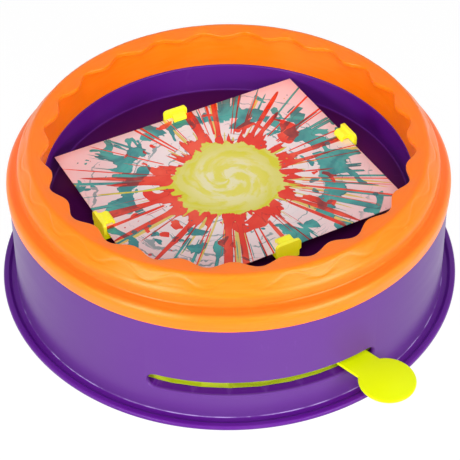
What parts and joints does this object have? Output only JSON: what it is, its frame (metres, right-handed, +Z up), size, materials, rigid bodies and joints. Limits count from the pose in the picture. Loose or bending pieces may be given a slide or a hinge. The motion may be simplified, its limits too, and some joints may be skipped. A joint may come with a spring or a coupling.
{
  "type": "spin art machine",
  "caption": "Hand-driven spin art machine: round bowl housing with wavy splash guard, thumb lever in a curved slot, geared turntable and sliding clips holding a card.",
  "frame": {"origin": "on the spin axis, in the plane of the foot flange's underside", "axes": "+Z up along the spin axis, -Y towards the front where the lever's slot is"},
  "size_m": [0.258, 0.2582, 0.088],
  "materials": {
    "purple_plastic": "satin-gloss moulded purple plastic",
    "orange_plastic": "satin-gloss moulded orange plastic",
    "lime_plastic": "satin-gloss moulded lime plastic",
    "yellow_plastic": "satin-gloss moulded yellow plastic",
    "base_plastic": "matte moulded purple plastic",
    "turntable_plastic": "matte moulded dark purple plastic",
    "gear_plastic": "natural acetal",
    "bronze": "sintered bronze",
    "steel": "bright zinc-plated steel",
    "card": "painted card, uncoated"
  },
  "bodies": {
    "base": {"housing": "purple_plastic", "base_plate": "base_plastic", "base_screw_1": "steel", "base_screw_2": "steel", "base_screw_3": "steel", "base_screw_4": "steel", "base_screw_5": "steel", "base_screw_6": "steel", "lower_bush": "bronze", "upper_bush": "bronze", "gear_axle": "steel", "thrust_washer": "steel", "lever_return_spring": "steel"},
    "lever": {"lever": "lime_plastic"},
    "compound_gear": {"compound_gear": "gear_plastic"},
    "clutch_gear": {"clutch_gear": "gear_plastic"},
    "turntable": {"turntable": "turntable_plastic", "turntable_screw": "steel", "paint_card": "card", "spindle": "steel", "spindle_clip": "steel", "pawl_carrier": "gear_plastic"},
    "splash_guard": {"splash_guard": "orange_plastic"},
    "card_clip_right": {"card_clip_right": "yellow_plastic"},
    "card_clip_back": {"card_clip_back": "yellow_plastic"},
    "card_clip_left": {"card_clip_left": "yellow_plastic"},
    "card_clip_front": {"card_clip_front": "yellow_plastic"}
  },
  "joints": [
    {"name": "lever_swing", "type": "hinge", "parent": "base", "child": "lever", "pos_m": [0, 0, 0], "axis": [0, 0, 1], "range_deg": [-47.5, 0], "stiffness_Nm_per_rad": 0.25, "springref_deg": 28.65, "deforming": ["lever_return_spring", "pawl_carrier"]},
    {"name": "compound_gear_spin", "type": "hinge", "parent": "base", "child": "compound_gear", "pos_m": [0.00602, -0.03954, 0], "axis": [0, 0, 1], "range_deg": [-285, 0]},
    {"name": "clutch_gear_spin", "type": "hinge", "parent": "base", "child": "clutch_gear", "pos_m": [0, 0, 0], "axis": [0, 0, 1], "range_deg": [0, 592]},
    {"name": "turntable_spin", "type": "hinge", "parent": "base", "child": "turntable", "pos_m": [0, 0, 0], "axis": [0, 0, 1], "continuous": true, "deforming": ["pawl_carrier"]},
    {"name": "splash_guard_lift", "type": "slide", "parent": "base", "child": "splash_guard", "axis": [0, 0, 1], "range_m": [0, 0.05]},
    {"name": "card_clip_right_slide", "type": "slide", "parent": "turntable", "child": "card_clip_right", "axis": [0.8813, 0.4726, 0], "range_m": [0, 0.008]},
    {"name": "card_clip_back_slide", "type": "slide", "parent": "turntable", "child": "card_clip_back", "axis": [-0.4726, 0.8813, 0], "range_m": [0, 0.008]},
    {"name": "card_clip_left_slide", "type": "slide", "parent": "turntable", "child": "card_clip_left", "axis": [-0.8813, -0.4726, 0], "range_m": [0, 0.008]},
    {"name": "card_clip_front_slide", "type": "slide", "parent": "turntable", "child": "card_clip_front", "axis": [0.4726, -0.8813, 0], "range_m": [0, 0.008]}
  ],
  "couplings": [
    {"joint": "compound_gear_spin", "follows": "lever_swing", "ratio": 6},
    {"joint": "clutch_gear_spin", "follows": "lever_swing", "ratio": -12.462}
  ]
}
